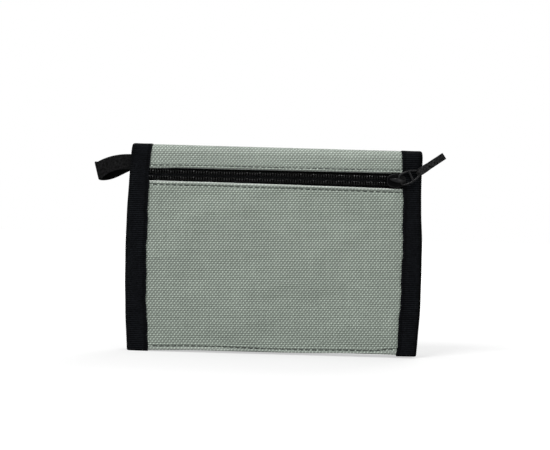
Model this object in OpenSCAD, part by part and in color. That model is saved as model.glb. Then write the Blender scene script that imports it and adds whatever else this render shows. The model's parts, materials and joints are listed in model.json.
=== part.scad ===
// Bifold wallet of coarse canvas with taped side edges, a zip pocket outside
// and card slots inside.
//
// Frame: the closed wallet stands on its open edge, with the fold on top.
// +X runs along the fold, +Y points out of the rear cover, +Z points up.
// The origin is the middle of the rear cover's outer face.
// The rear cover half stays still. The spine turns up about the rear top edge,
// and the zip half turns about the front top edge, until both halves lie flat.
//
// A depth is measured inward from the outer face of the half it belongs to.

/* [Wallet] */
// Width of the closed wallet, over the side bindings
wallet_w = 125; // [120:1:140]
// Height of the closed wallet, from open edge to fold
wallet_h = 87; // [84:1:100]
// Thickness of the closed wallet
wallet_t = 15; // [15:0.1:16]

/* [Cloth] */
// Thickness of the outer canvas, coating included
canvas_t = 0.9; // [0.8:0.05:1.0]
// Thickness of the thin lining cloth
lining_t = 0.4; // [0.3:0.05:0.45]
// Thickness of the cloth of the card panels
panel_t = 0.35; // [0.25:0.05:0.4]
// Thickness of the edge binding tape
binding_t = 0.5; // [0.4:0.05:0.6]
// Width of the left binding seen on the face
binding_left_w = 8.7; // [7:0.1:10]
// Width of the right binding seen on the face
binding_right_w = 8.1; // [7:0.1:10]

/* [Zip] */
// Distance of the zip's centre line below the fold
zip_drop = 12.6; // [12:0.1:16]
// Opening between the two canvas lips
lip_gap = 5.9; // [5.9:0.1:7]
// Width of one coil row
coil_w = 1.9; // [1.6:0.05:1.9]
// Thickness of the coil rows
coil_t = 1.4; // [1.2:0.05:1.4]
// Slit between the two coil rows
coil_gap = 0.6; // [0.6:0.05:0.8]
// Width of each zip tape behind its lip
tape_w = 8.2; // [6:0.1:8.2]
// Distance that the slider travels
slider_travel = 100; // [60:1:100]

/* [Pull] */
// Angle of the pull frame above the zip line
frame_angle = 25; // [0:1:30]
// Angle of the pull cord above the zip line
cord_angle = 35; // [0:1:40]
// Length of the pull frame between its two end bars
frame_l = 8.6; // [8:0.1:10]
// Thickness of the frame's wire
wire_d = 1; // [0.8:0.05:1]
// Length of the pull cord
cord_l = 13; // [8:0.5:16]
// Width of the pull cord
cord_w = 3; // [2:0.1:3.2]

/* [Side loop] */
// Width of the loop's tape
loop_w = 7; // [5:0.1:8]
// Distance of the loop's root centre below the fold
loop_drop = 8.1; // [7:0.1:12]
// Reach of the loop from its hinge line
loop_reach = 12.4; // [10:0.1:16]
// Inside radius of the loop's closed end
loop_r = 1.6; // [1.2:0.1:2]
// Droop of the loop below level
loop_droop = 15; // [0:1:15]

/* [Inside] */
// Depth of a card slot from back to front
slot_gap = 0.9; // [0.85:0.01:0.9]
// Depth of the note pocket from back to front
note_gap = 1.2; // [1:0.05:1.2]
// Depth of the zip pocket behind the canvas
zip_pocket_gap = 1.9; // [1.8:0.05:1.9]
// Height of a card slot from mouth to seam
slot_h = 50; // [45:1:52]
// Height of the touch fastener strips
strip_h = 16; // [10:1:16]
// Length of the touch fastener strips
strip_l = 100; // [60:1:100]

/* [Hidden] */

$fn = 48;

canvas_colour = "#87918a";
tape_colour = "#141416";
lining_colour = "#4a4e50";
metal_colour = "#1c1c1e";
film_colour = "#cfe0e8";

// Play between two layers that lie against each other
ease = 0.02;

// The four edges of the closed wallet
fold_z = wallet_h / 2;
open_z = -wallet_h / 2;
side_x = wallet_w / 2;

// The canvas stops short of the binding's turn, and a little above the open edge
cloth_x = side_x - binding_t - 0.1;
hem_z = open_z + 0.3;

// Inner edges of the visible bindings
left_x = -side_x + binding_left_w;
right_x = side_x - binding_right_w;

// The spine's layers, from the fold's outer face down, and where the halves start
spine_depth = canvas_t + lining_t + binding_t;
half_top = fold_z - spine_depth - 0.2;

// Depths of the layers of the zip half
zip_lining_d = canvas_t + zip_pocket_gap;
rear_slot_d = zip_lining_d + lining_t;
rear_panel_d = rear_slot_d + slot_gap;
front_panel_d = rear_panel_d + panel_t + slot_gap;
zip_stack_d = front_panel_d + panel_t;

// Depths of the layers of the cover half
cover_lining_d = canvas_t + ease;
note_panel_d = cover_lining_d + lining_t + note_gap;
cover_card_d = note_panel_d + lining_t + slot_gap;
window_d = cover_card_d + panel_t + slot_gap + 0.25;
cover_stack_d = window_d + panel_t;

// The halves meet on this depth
middle_d = wallet_t / 2 - 0.05;

// Mouth heights of the inside pockets
note_mouth_z = half_top - 3;
high_mouth_z = half_top - 7.5;
low_mouth_z = half_top - 17.5;

// Seams along the sides and the bottom of a pocket
side_seam = 6.5;
floor_seam = 2;

// The zip's centre line, its lips, and the slider's place at rest
zip_z = fold_z - zip_drop;
upper_lip_z = zip_z + lip_gap / 2;
lower_lip_z = zip_z - lip_gap / 2;
coil_outer = coil_gap / 2 + coil_w;
coil_d = 0.1;
tape_t = 0.35;
tape_d = canvas_t + ease;
slider_x = right_x - 3.4;

// The slider's wings, flanges and bridge
wing_front_x = -4.2;
wing_back_x = 4.2;
wing_t = 0.9;
wing_play = 0.15;
flange_in = coil_outer + 0.1;
flange_out = flange_in + 0.5;
back_wing_d = coil_d + coil_t + wing_play;
bridge_w = 1.6;
bridge_t = 0.7;
bridge_rise = 1.45;

// The pull's pin under the bridge
pull_pin_x = slider_x + 1.4;
pull_depth = coil_d - wing_play - wing_t - bridge_rise / 2;
pull_pin_w = 4.8;
pull_end_w = 3.8;
pull_crossbar = 5.7;

// The side loop's hinge line
loop_leg_t = 0.6;
loop_root_x = -side_x - 1.5;
loop_depth = zip_stack_d / 2;
loop_z = fold_z - loop_drop;

// Block between x0 and x1, depths d0 and d1, and z0 and z1
module layer(x0, x1, d0, d1, z0, z1) {
    translate([x0, -d1, z0]) cube([x1 - x0, d1 - d0, z1 - z0]);
}

// Puts a shape drawn by depth onto the zip half, whose face looks to -Y
module on_zip_half() {
    translate([0, -wallet_t, 0]) mirror([0, 1, 0]) children();
}

// Outer canvas: full thickness between the bindings, pressed thinner under them
module canvas(z0, z1) {
    layer(left_x + 0.05, right_x - 0.05, 0, canvas_t, z0, z1);
    layer(-cloth_x, cloth_x, binding_t + ease, canvas_t, z0, z1);
}

// Thin cloth from side to side
module cloth(d, t, z0, z1) {
    layer(-cloth_x, cloth_x, d, d + t, z0, z1);
}

// A pocket's front cloth with its sewn sides and floor reaching back over the gap
module pocket_front(d, t, gap, mouth_z, floor_z) {
    seam_back = d - gap + ease;
    cloth(d, t, hem_z, mouth_z);
    for (side = [-1, 1])
        translate([side * (cloth_x - side_seam / 2), 0, 0])
            layer(-side_seam / 2, side_seam / 2, seam_back, d, hem_z, mouth_z);
    layer(-cloth_x, cloth_x, seam_back, d, floor_z - floor_seam, floor_z);
}

// Cross-section of a folded tape: round outside, open towards the wallet
module binding_section(flange_w, depth) {
    turn = binding_t * 2;
    difference() {
        union() {
            translate([0, -depth]) square([flange_w - turn, depth]);
            translate([0, -depth + turn]) square([flange_w, depth - 2 * turn]);
            for (d = [turn, depth - turn])
                translate([flange_w - turn, -d]) circle(turn);
        }
        translate([-1, -depth + binding_t])
            square([flange_w - binding_t + 1, depth - 2 * binding_t]);
    }
}

// Side binding of one half; side is -1 on the left and 1 on the right
module half_binding(side, width, depth) {
    translate([side * (side_x - width), 0, open_z])
        mirror([side < 0 ? 1 : 0, 0, 0])
            linear_extrude(half_top - open_z) binding_section(width, depth);
}

// Side binding over the spine
module spine_binding(side, width) {
    translate([side * (side_x - width), -0.1, fold_z])
        mirror([side < 0 ? 1 : 0, 0, 0])
            rotate([90, 0, 0])
                linear_extrude(wallet_t - 0.2)
                    spine_section(width, spine_depth);
}

// The same folded tape over the thin spine, with square corners
module spine_section(flange_w, depth) {
    difference() {
        translate([0, -depth]) square([flange_w, depth]);
        translate([-1, -depth + binding_t])
            square([flange_w - binding_t + 1, depth - 2 * binding_t]);
    }
}

// Touch fastener strip sewn on the innermost cloth
module touch_strip(d0) {
    strip_z = hem_z + 3.2;
    layer(-strip_l / 2, strip_l / 2, d0 + ease, middle_d, strip_z, strip_z + strip_h);
}

// ---- Rear cover half ----

module cover_panel() {
    color(canvas_colour) canvas(hem_z, half_top);
}

module cover_lining() {
    color(lining_colour) cloth(cover_lining_d, lining_t, hem_z, half_top);
}

module note_pocket_panel() {
    color(lining_colour)
        pocket_front(note_panel_d, lining_t, note_gap, note_mouth_z, hem_z + floor_seam);
}

module cover_card_panel() {
    color(canvas_colour)
        pocket_front(cover_card_d, panel_t, slot_gap, high_mouth_z, high_mouth_z - slot_h);
}

module window_frame() {
    opening_w = 76;
    opening_h = 38;
    color(lining_colour)
        difference() {
            pocket_front(window_d, panel_t, slot_gap + 0.25, low_mouth_z, low_mouth_z - slot_h);
            layer(-opening_w / 2, opening_w / 2, window_d - 0.1, cover_stack_d + 1,
                low_mouth_z - 6 - opening_h, low_mouth_z - 6);
        }
}

module id_window() {
    film_t = 0.2;
    film_w = 84;
    film_h = 45;
    color(film_colour)
        layer(-film_w / 2, film_w / 2, window_d - ease - film_t, window_d - ease,
            low_mouth_z - 2 - film_h, low_mouth_z - 2);
}

module loop_strip() {
    color(tape_colour) touch_strip(cover_stack_d);
}

module cover_binding_left() {
    color(tape_colour) half_binding(-1, binding_left_w, cover_stack_d + binding_t + ease);
}

module cover_binding_right() {
    color(tape_colour) half_binding(1, binding_right_w, cover_stack_d + binding_t + ease);
}

// ---- Spine ----

module spine_cover() {
    y0 = -wallet_t + 0.1;
    span = wallet_t - 0.2;
    color(canvas_colour) {
        translate([left_x + 0.05, y0, fold_z - canvas_t])
            cube([right_x - left_x - 0.1, span, canvas_t]);
        translate([-cloth_x, y0, fold_z - canvas_t])
            cube([2 * cloth_x, span, canvas_t - binding_t - ease]);
    }
}

module spine_lining() {
    color(lining_colour)
        translate([-cloth_x, -wallet_t + 0.1, fold_z - canvas_t - lining_t + ease])
            cube([2 * cloth_x, wallet_t - 0.2, lining_t - 2 * ease]);
}

module spine_binding_left() {
    color(tape_colour) spine_binding(-1, binding_left_w);
}

module spine_binding_right() {
    color(tape_colour) spine_binding(1, binding_right_w);
}

// ---- Zip half ----

module zip_panel() {
    color(canvas_colour) on_zip_half() canvas(hem_z, lower_lip_z);
}

module top_strip() {
    color(canvas_colour) on_zip_half() canvas(upper_lip_z, half_top);
}

// Zip tape behind its lip; way is 1 for the upper tape and -1 for the lower
module zip_tape(way) {
    inner = zip_z + way * (coil_outer + ease);
    outer = inner + way * tape_w;
    color(tape_colour)
        on_zip_half()
            layer(-cloth_x, cloth_x, tape_d, tape_d + tape_t, min(inner, outer), max(inner, outer));
}

module upper_zip_tape() zip_tape(1);

module lower_zip_tape() zip_tape(-1);

// One coil row as a plain bar with round edges
module coil_row(way) {
    r = coil_t / 2;
    row_z = zip_z + way * (coil_gap + coil_w) / 2;
    color(metal_colour)
        on_zip_half()
            translate([left_x + 0.1, -coil_d - r, row_z])
                rotate([90, 0, 90])
                    linear_extrude(right_x - left_x - 0.2) {
                        square([coil_t, coil_w - coil_t], center = true);
                        for (end = [-1, 1])
                            translate([0, end * (coil_w - coil_t) / 2]) circle(r);
                    }
}

module upper_coil() coil_row(1);

module lower_coil() coil_row(-1);

// Back wall of the zip pocket, sewn to the canvas around three sides
module pocket_lining() {
    seam_back = tape_d + tape_t + ease;
    color(lining_colour)
        on_zip_half() {
            cloth(zip_lining_d, lining_t, hem_z, half_top);
            for (side = [-1, 1])
                translate([side * (cloth_x - side_seam / 2), 0, 0])
                    layer(-side_seam / 2, side_seam / 2, seam_back, zip_lining_d, hem_z, half_top);
            layer(-cloth_x, cloth_x, seam_back, zip_lining_d, hem_z, hem_z + floor_seam);
            layer(-cloth_x, cloth_x, seam_back, zip_lining_d, half_top - 1, half_top);
        }
}

module rear_card_panel() {
    color(canvas_colour)
        on_zip_half()
            pocket_front(rear_panel_d, panel_t, slot_gap, high_mouth_z, high_mouth_z - slot_h);
}

module front_card_panel() {
    color(canvas_colour)
        on_zip_half()
            pocket_front(front_panel_d, panel_t, slot_gap, low_mouth_z, low_mouth_z - slot_h);
}

module hook_strip() {
    color(tape_colour) on_zip_half() touch_strip(zip_stack_d);
}

module zip_binding_left() {
    color(tape_colour)
        on_zip_half() half_binding(-1, binding_left_w, zip_stack_d + binding_t + ease);
}

module zip_binding_right() {
    color(tape_colour)
        on_zip_half() half_binding(1, binding_right_w, zip_stack_d + binding_t + ease);
}

// ---- Slider and pull ----

// Plan of a slider wing: broad and rounded at its mouth, narrow at its tail
module wing_plan(mouth_w, tail_w) {
    chamfer = 1.2;
    polygon([
        [wing_front_x, -mouth_w + chamfer], [wing_front_x + chamfer, -mouth_w],
        [0, -mouth_w], [wing_back_x - 0.5, -tail_w], [wing_back_x, -tail_w + 0.5],
        [wing_back_x, tail_w - 0.5], [wing_back_x - 0.5, tail_w],
        [0, mouth_w], [wing_front_x + chamfer, mouth_w], [wing_front_x, mouth_w - chamfer]
    ]);
}

// Flat plate of that plan between two depths
module wing(d0, d1, mouth_w, tail_w) {
    translate([0, -d0, 0]) rotate([90, 0, 0]) linear_extrude(d1 - d0) wing_plan(mouth_w, tail_w);
}

// Side view of the bridge, an arch that stands on the front wing
module bridge_side() {
    foot = wing_t / 2;
    top = wing_t + bridge_rise + bridge_t;
    difference() {
        polygon([[-3.2, foot], [-3.2, top - 1], [-2, top], [2.2, top], [3.4, top - 1], [3.4, foot]]);
        polygon([
            [-2.4, wing_t], [-2.4, top - bridge_t - 0.3], [-2.1, top - bridge_t],
            [2.3, top - bridge_t], [2.6, top - bridge_t - 0.3], [2.6, wing_t]
        ]);
    }
}

module slider() {
    front_face_d = coil_d - wing_play;
    color(metal_colour)
        on_zip_half()
            translate([slider_x, 0, zip_z]) {
                wing(front_face_d - wing_t, front_face_d, 3.1, 2.8);
                wing(back_wing_d, back_wing_d + 0.8, flange_out, flange_out);
                for (way = [-1, 1])
                    translate([0, 0, way * (flange_in + flange_out) / 2]) {
                        layer(-3, 3.2, front_face_d, tape_d - 0.25, -0.25, 0.25);
                        layer(-3, 3.2, tape_d + tape_t + 0.2, back_wing_d + 0.1, -0.25, 0.25);
                    }
                layer(wing_front_x, wing_front_x + 1.4, front_face_d - 0.1, back_wing_d + 0.1,
                    -0.15, 0.15);
                translate([0, -front_face_d, bridge_w / 2])
                    mirror([0, 0, 1]) linear_extrude(bridge_w) bridge_side();
            }
}

// Flat-sided bar of the frame from point a to point b in the pull's own plane
module rail(a, b) {
    run = b - a;
    translate([a[0], 0, a[1]])
        rotate([0, -atan2(run[1], run[0]), 0])
            translate([-wire_d / 2, -wire_d / 2, -wire_d / 2])
                cube([norm(run) + wire_d, wire_d, wire_d]);
}

// Round end bar across the frame, on which something turns
module end_bar(x, half_w) {
    translate([x, 0, -half_w]) cylinder(h = 2 * half_w, d = wire_d - 0.1);
}

// The pull's plane, with its pin bar at the origin and its length along X
module in_pull_frame() {
    on_zip_half()
        translate([pull_pin_x, -pull_depth, zip_z]) rotate([0, -frame_angle, 0]) children();
}

module pull_frame() {
    pin = pull_pin_w / 2;
    far = pull_end_w / 2;
    cross = pin + (far - pin) * pull_crossbar / frame_l;
    color(metal_colour)
        in_pull_frame() {
            end_bar(0, pin);
            end_bar(frame_l, far);
            rail([pull_crossbar, -cross], [pull_crossbar, cross]);
            for (way = [-1, 1]) rail([0, way * pin], [frame_l, way * far]);
        }
}

// The cord's tape folded round the frame's end bar and sewn to itself
module pull_cord() {
    hole_r = wire_d / 2;
    turn_r = hole_r + 0.45;
    turn_w = pull_end_w - wire_d - 0.4;
    cord_t = 1.2;
    color(tape_colour)
        in_pull_frame()
            translate([frame_l, 0, 0])
                difference() {
                    union() {
                        translate([0, 0, -turn_w / 2]) cylinder(h = turn_w, r = turn_r);
                        rotate([0, frame_angle - cord_angle, 0]) {
                            translate([0, -cord_t / 2, -turn_w * 0.4])
                                cube([2, cord_t, turn_w * 0.8]);
                            translate([1.5, -cord_t / 2, -cord_w / 2])
                                cube([cord_l - 1.5, cord_t, cord_w]);
                        }
                    }
                    translate([0, 0, -cord_w]) cylinder(h = 2 * cord_w, r = hole_r);
                }
}

// ---- Side loop ----

// Teardrop section of a folded tape: legs together at the root, round at the far end
module loop_section(bend_r, root_half) {
    reach = loop_reach - loop_r - loop_leg_t;
    lean = asin((bend_r - root_half) / reach);
    circle_at = [-reach, 0];
    translate(circle_at) circle(bend_r);
    polygon([
        [0, root_half], circle_at + bend_r * [sin(lean), cos(lean)],
        circle_at + bend_r * [sin(lean), -cos(lean)], [0, -root_half]
    ]);
}

module side_loop() {
    color(tape_colour)
        on_zip_half()
            translate([loop_root_x, -loop_depth, loop_z])
                rotate([0, -loop_droop, 0])
                    translate([0, 0, -loop_w / 2])
                        linear_extrude(loop_w)
                            difference() {
                                loop_section(loop_r + loop_leg_t, loop_leg_t + 0.05);
                                loop_section(loop_r, 0.05);
                            }
}

cover_panel();
cover_lining();
note_pocket_panel();
cover_card_panel();
window_frame();
id_window();
loop_strip();
cover_binding_left();
cover_binding_right();
spine_cover();
spine_lining();
spine_binding_left();
spine_binding_right();
zip_panel();
top_strip();
upper_zip_tape();
lower_zip_tape();
upper_coil();
lower_coil();
pocket_lining();
rear_card_panel();
front_card_panel();
hook_strip();
zip_binding_left();
zip_binding_right();
slider();
pull_frame();
pull_cord();
side_loop();
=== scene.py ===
"""Looks for a canvas bifold wallet: cloth, tape, zip, thread and pull, built around the fixed CAD frame."""
import json
import math

import bmesh
import bpy
import numpy as np
from mathutils import Matrix, Vector


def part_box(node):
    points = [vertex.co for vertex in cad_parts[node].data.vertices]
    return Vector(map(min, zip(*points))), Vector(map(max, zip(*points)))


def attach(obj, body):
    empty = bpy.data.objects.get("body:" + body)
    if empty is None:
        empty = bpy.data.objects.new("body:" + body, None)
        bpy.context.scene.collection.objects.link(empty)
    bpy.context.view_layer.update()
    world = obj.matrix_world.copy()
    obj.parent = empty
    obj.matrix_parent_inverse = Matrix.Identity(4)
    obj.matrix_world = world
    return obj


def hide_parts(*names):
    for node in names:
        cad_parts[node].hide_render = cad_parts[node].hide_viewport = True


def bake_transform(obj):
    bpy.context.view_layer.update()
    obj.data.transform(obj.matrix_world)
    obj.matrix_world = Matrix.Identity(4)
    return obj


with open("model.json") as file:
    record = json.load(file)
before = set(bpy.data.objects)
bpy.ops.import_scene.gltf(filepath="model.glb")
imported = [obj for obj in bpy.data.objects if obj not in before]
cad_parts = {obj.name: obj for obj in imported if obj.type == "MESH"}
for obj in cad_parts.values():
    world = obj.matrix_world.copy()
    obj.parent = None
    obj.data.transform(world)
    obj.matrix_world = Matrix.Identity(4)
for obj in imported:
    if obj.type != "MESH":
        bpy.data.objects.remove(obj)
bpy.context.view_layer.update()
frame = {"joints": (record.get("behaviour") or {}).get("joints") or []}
MM = 0.001

# ---------------------------------------------------------------- places from the frame
# A half is 1 for the rear cover and -1 for the zip half; a side is -1 for left and 1 for right.

BACK_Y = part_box("cover_panel")[1].y
FRONT_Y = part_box("zip_panel")[0].y
FACE_Y = {1: BACK_Y, -1: FRONT_Y}
MIDDLE_Y = (BACK_Y + FRONT_Y) / 2
OPEN_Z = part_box("zip_binding_left")[0].z
FOLD_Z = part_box("spine_cover")[1].z
SIDE_X = {-1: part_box("zip_binding_left")[0].x, 1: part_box("zip_binding_right")[1].x}
TAPE_X = {-1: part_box("zip_binding_left")[1].x, 1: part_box("zip_binding_right")[0].x}
HEM_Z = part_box("zip_panel")[0].z
ZIP_Z = (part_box("upper_coil")[0].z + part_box("lower_coil")[1].z) / 2
HALF_H = (FOLD_Z - OPEN_Z) / 2

# How far each binding's end lies above the open edge
END_RISE = {-1: -0.35 * MM, 1: 0.25 * MM}

# Radius of the cloth's turn at each fold line, and the thickness of a half's side at the fold and below it
TURN_R = 3.5 * MM
SPINE_T = 1.9 * MM
STACK_T = 6.15 * MM

# Pitch of the canvas yarns across and along, and of the tapes' ribs
WARP = 0.73 * MM
WEFT = 0.945 * MM
RIB = 0.84 * MM
LOOP_RIB = 0.42 * MM

CANVAS_T = 0.8 * MM
LIP_R = 0.75 * MM
LIP_STITCH = {1: 1.25 * MM, -1: 1.65 * MM}
REAR_HEM_STITCH = 2.1 * MM
MOUTH_STITCH = 3.3 * MM

# The two cloth folds: the bodies on either side of each joint and the ends of the turn between them
FOLDS = {
    1: dict(a="cover_half", b="spine",
            start=(0, BACK_Y, FOLD_Z - TURN_R), end=(0, BACK_Y - TURN_R, FOLD_Z)),
    -1: dict(a="spine", b="zip_half",
             start=(0, FRONT_Y + TURN_R, FOLD_Z), end=(0, FRONT_Y, FOLD_Z - TURN_R)),
}
HALF_BODY = {1: "cover_half", -1: "zip_half"}
OUTWARD = {1: np.array([0, 1.0, 0]), -1: np.array([0, -1.0, 0])}


# ---------------------------------------------------------------- curves


def smooth(t):
    """Smooth step of an array from 0 to 1."""
    t = np.clip(t, 0, 1)
    return t * t * (3 - 2 * t)


def between(a, b, t):
    """Values from a to b as t goes from 0 to 1."""
    return a * (1 - t) + b * t


def bell(d, width):
    """Soft hump, 1 at d = 0."""
    return np.exp(-(d / width) ** 2)


def blunt(wave, power):
    """A sine or cosine made squarer."""
    return np.sign(wave) * np.abs(wave) ** power


def crowded(count, crowd):
    """Steps from 0 to 1 that lie closer together at both ends."""
    t = np.linspace(0, 1, count)
    return t - crowd * np.sin(2 * math.pi * t) / (2 * math.pi)


def rolled_edge(d, radius):
    """Share of full thickness at distance d from a rolled edge."""
    return np.sqrt(np.clip(1 - (1 - np.clip(d / radius, 0, 1)) ** 2, 0, 1))


def seam_groove(d, at, depth=0.34 * MM):
    """Furrow that a row of stitches pulls into the cloth, at distance `at` from an edge."""
    return depth * bell(d - at, 0.45 * MM)


def side_edge(side, z):
    """x of the wallet's side at height z: the sides bow out a little between the corners."""
    if side < 0:
        return SIDE_X[-1] + 1.8 * MM * (z / HALF_H) ** 2
    above = 1.0 * MM * smooth(z / (26 * MM))
    below = 1.1 * MM * np.clip((-18 * MM - z) / (22 * MM), 0, 2) ** 1.5
    return SIDE_X[1] - above - below


def tape_edge(side, z):
    """x of the binding's inner edge at height z, a little uneven as sewn tape is."""
    wave = 0.16 * MM * np.sin(z / MM * 0.31 + side) + 0.1 * MM * np.sin(z / MM * 0.83 + 2 * side)
    bow = np.where(z > 0, 1.2 * MM, 2.0 * MM) if side < 0 else 1.5 * MM
    bite = 0.07 * MM * np.sin(2 * math.pi * z / WEFT)
    clear = 0.55 * MM * bell(z - ZIP_Z, 4.5 * MM) if side < 0 else 0.0
    return TAPE_X[side] - side * bow * (np.abs(z) / HALF_H) ** 2.2 + wave + bite - clear


# ---------------------------------------------------------------- mesh helpers


def new_object(name, data):
    """Object for a mesh, light or camera, linked into the scene."""
    obj = bpy.data.objects.new(name, data)
    bpy.context.scene.collection.objects.link(obj)
    return obj


def soften(mesh, sharp):
    """Smooth shading, with edges kept sharp above an angle in degrees."""
    mesh.polygons.foreach_set("use_smooth", [True] * len(mesh.polygons))
    mesh.set_sharp_from_angle(angle=math.radians(sharp))


def mesh_from(name, verts, faces, uv=None, sharp=40, painted_shading=None):
    """Mesh object from vertices and faces, with UVs in metres and a painted light and shade value at each
    vertex.
    """
    mesh = bpy.data.meshes.new(name)
    mesh.from_pydata([tuple(v) for v in verts], [], faces)
    if uv is not None:
        corner = np.empty(len(mesh.loops), np.int32)
        mesh.loops.foreach_get("vertex_index", corner)
        layer = mesh.uv_layers.new(name="cloth")
        layer.data.foreach_set("uv", np.asarray(uv, np.float32)[corner].ravel())
    if painted_shading is not None:
        layer = mesh.attributes.new("painted_shading", "FLOAT", "POINT")
        layer.data.foreach_set("value", np.asarray(painted_shading, np.float32))
    work = bmesh.new()
    work.from_mesh(mesh)
    bmesh.ops.remove_doubles(work, verts=work.verts, dist=2e-7)
    bmesh.ops.recalc_face_normals(work, faces=work.faces)
    work.to_mesh(mesh)
    work.free()
    soften(mesh, sharp)
    return new_object(name, mesh)


def grid(*parts):
    """Points from their coordinates, each spread over the others' rows and columns."""
    return np.stack(np.broadcast_arrays(*parts), -1)


def unit(vectors):
    return vectors / np.maximum(np.linalg.norm(vectors, axis=-1, keepdims=True), 1e-12)


def grid_normals(points):
    """Unit normals of a grid of points."""
    return unit(np.cross(np.gradient(points, axis=0), np.gradient(points, axis=1)))


def run_length(points):
    """Distance along a row of points."""
    step = np.linalg.norm(np.diff(points, axis=0), axis=1)
    return np.concatenate([[0], np.cumsum(step)])


def quads(index):
    """Faces between neighbours in a grid of vertex numbers."""
    return np.stack([index[:-1, :-1], index[:-1, 1:], index[1:, 1:], index[1:, :-1]], 2).reshape(-1, 4)


def shell(name, outer, inner, uv, sharp=50, painted_shading=None):
    """Closed cloth from two matching grids of points, rows by columns."""
    rows, columns = outer.shape[:2]
    count = rows * columns
    index = np.arange(count).reshape(rows, columns)
    rim = np.concatenate([index[0], index[1:, -1], index[-1, -2::-1], index[-2:0:-1, 0]])
    after = np.roll(rim, -1)
    walls = np.stack([after, rim, rim + count, after + count], 1)
    faces = np.concatenate([quads(index), quads(index)[:, ::-1] + count, walls])
    verts = np.concatenate([outer.reshape(-1, 3), inner.reshape(-1, 3)])
    flat = np.tile(uv.reshape(-1, 2), (2, 1))
    if painted_shading is not None:
        painted_shading = np.broadcast_to(painted_shading, (2, rows, columns)).ravel()
    return mesh_from(name, verts, faces.tolist(), flat, sharp, painted_shading)


def sheet(name, middle, n, half_t, uv, painted_shading=None):
    """Closed cloth around a middle surface, and the grid of its outer face."""
    lift = n * np.asarray(half_t)[..., None]
    return shell(name, middle + lift, middle - lift, uv, painted_shading=painted_shading), middle + lift


def hose_faces(rings, sides, closed=False):
    """Faces of a hose made of rings of vertices, closed into a loop or capped at both ends."""
    faces = []
    for i in range(rings if closed else rings - 1):
        for k in range(sides):
            a, b = i * sides + k, i * sides + (k + 1) % sides
            c, d = (b + sides) % (rings * sides), (a + sides) % (rings * sides)
            faces.append((a, b, c, d))
    if not closed:
        faces.append(tuple(reversed(range(sides))))
        faces.append(tuple(range((rings - 1) * sides, rings * sides)))
    return faces


def circle(sides):
    """Cosines and sines round a circle."""
    a = 2 * math.pi * np.arange(sides) / sides
    return np.cos(a), np.sin(a)


def hose(centres, across, other, radius, sides):
    """Points of round rings about each centre."""
    c, q = circle(sides)
    ring = c[:, None] * across[:, None] + q[:, None] * other[:, None]
    return (centres[:, None] + radius * ring).reshape(-1, 3)


def tube(name, path, radius, sides=8, closed=False):
    """Round wire along a path, blind at its ends or closed into a ring."""
    path = np.asarray(path, float)
    ahead = np.roll(path, -1, 0) - np.roll(path, 1, 0)
    if not closed:
        ahead[0], ahead[-1] = path[1] - path[0], path[-1] - path[-2]
    ahead = unit(ahead)
    up = np.array([0, 0, 1.0] if abs(ahead[0, 2]) < 0.9 else [1.0, 0, 0])
    across = [unit(np.cross(up, ahead[0]))]
    for t in ahead[1:]:
        across.append(unit(across[-1] - across[-1] @ t * t))
    across = np.array(across)
    points = hose(path, across, np.cross(ahead, across), radius, sides)
    return mesh_from(name, points, hose_faces(len(path), sides, closed))


def join(name, parts):
    """One object made of several."""
    bpy.ops.object.select_all(action="DESELECT")
    for p in parts:
        p.select_set(True)
    bpy.context.view_layer.objects.active = parts[0]
    bpy.ops.object.join()
    parts[0].name = name
    parts[0].data.name = name
    return parts[0]


def stitches(name, path, normals, pitch=2.7 * MM, length=2.15 * MM, r=0.21 * MM, lift=0.1 * MM):
    """Lockstitch thread along a path: short bows that dive into the cloth at both ends."""
    sides, steps = 6, 7
    path = np.asarray(path)
    normals = np.broadcast_to(normals, path.shape)
    s = run_length(path)
    count = int(s[-1] / pitch)
    margin = (s[-1] - count * pitch) / 2
    t = np.linspace(-1, 1, steps)
    height = lift - (lift + 1.6 * r) * t[:, None] ** 4
    verts, faces = [], []
    for k in range(count):
        at = margin + k * pitch + (pitch + length * t) / 2
        p, n = (grid(*(np.interp(at, s, line[:, c]) for c in range(3))) for line in (path, normals))
        p = p + n * height
        ahead = unit(np.gradient(p, axis=0))
        across = unit(np.cross(ahead, n))
        faces += [tuple(len(verts) + v for v in face) for face in hose_faces(steps, sides)]
        verts += list(hose(p, across, np.cross(across, ahead), r, sides))
    return mesh_from(name, verts, faces)


# ---------------------------------------------------------------- materials


class Nodes:
    """A node tree, built one step at a time."""

    def __init__(self, tree):
        self.tree = tree

    def node(self, kind, **settings):
        node = self.tree.nodes.new(kind)
        for key, value in settings.items():
            setattr(node, key, value)
        return node

    def feed(self, socket, value):
        if hasattr(value, "is_output"):
            self.tree.links.new(value, socket)
        else:
            socket.default_value = value

    def filled(self, kind, values, **settings):
        """First output of a node whose inputs are fed in order."""
        node = self.node(kind, **settings)
        for socket, value in zip(node.inputs, values):
            self.feed(socket, value)
        return node.outputs[0]

    def math(self, operation, a, b=0.0, c=0.0):
        return self.filled("ShaderNodeMath", (a, b, c), operation=operation)

    def times(self, a, b):
        return self.math("MULTIPLY", a, b)

    def plus(self, a, b):
        return self.math("ADD", a, b)

    def over(self, a, b):
        return self.math("DIVIDE", a, b)

    def scale(self, value, low, high):
        """Maps 0..1 to low..high."""
        return self.math("MULTIPLY_ADD", value, high - low, low)

    def split(self, vector):
        node = self.node("ShaderNodeSeparateXYZ")
        self.feed(node.inputs[0], vector)
        return node.outputs


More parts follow.
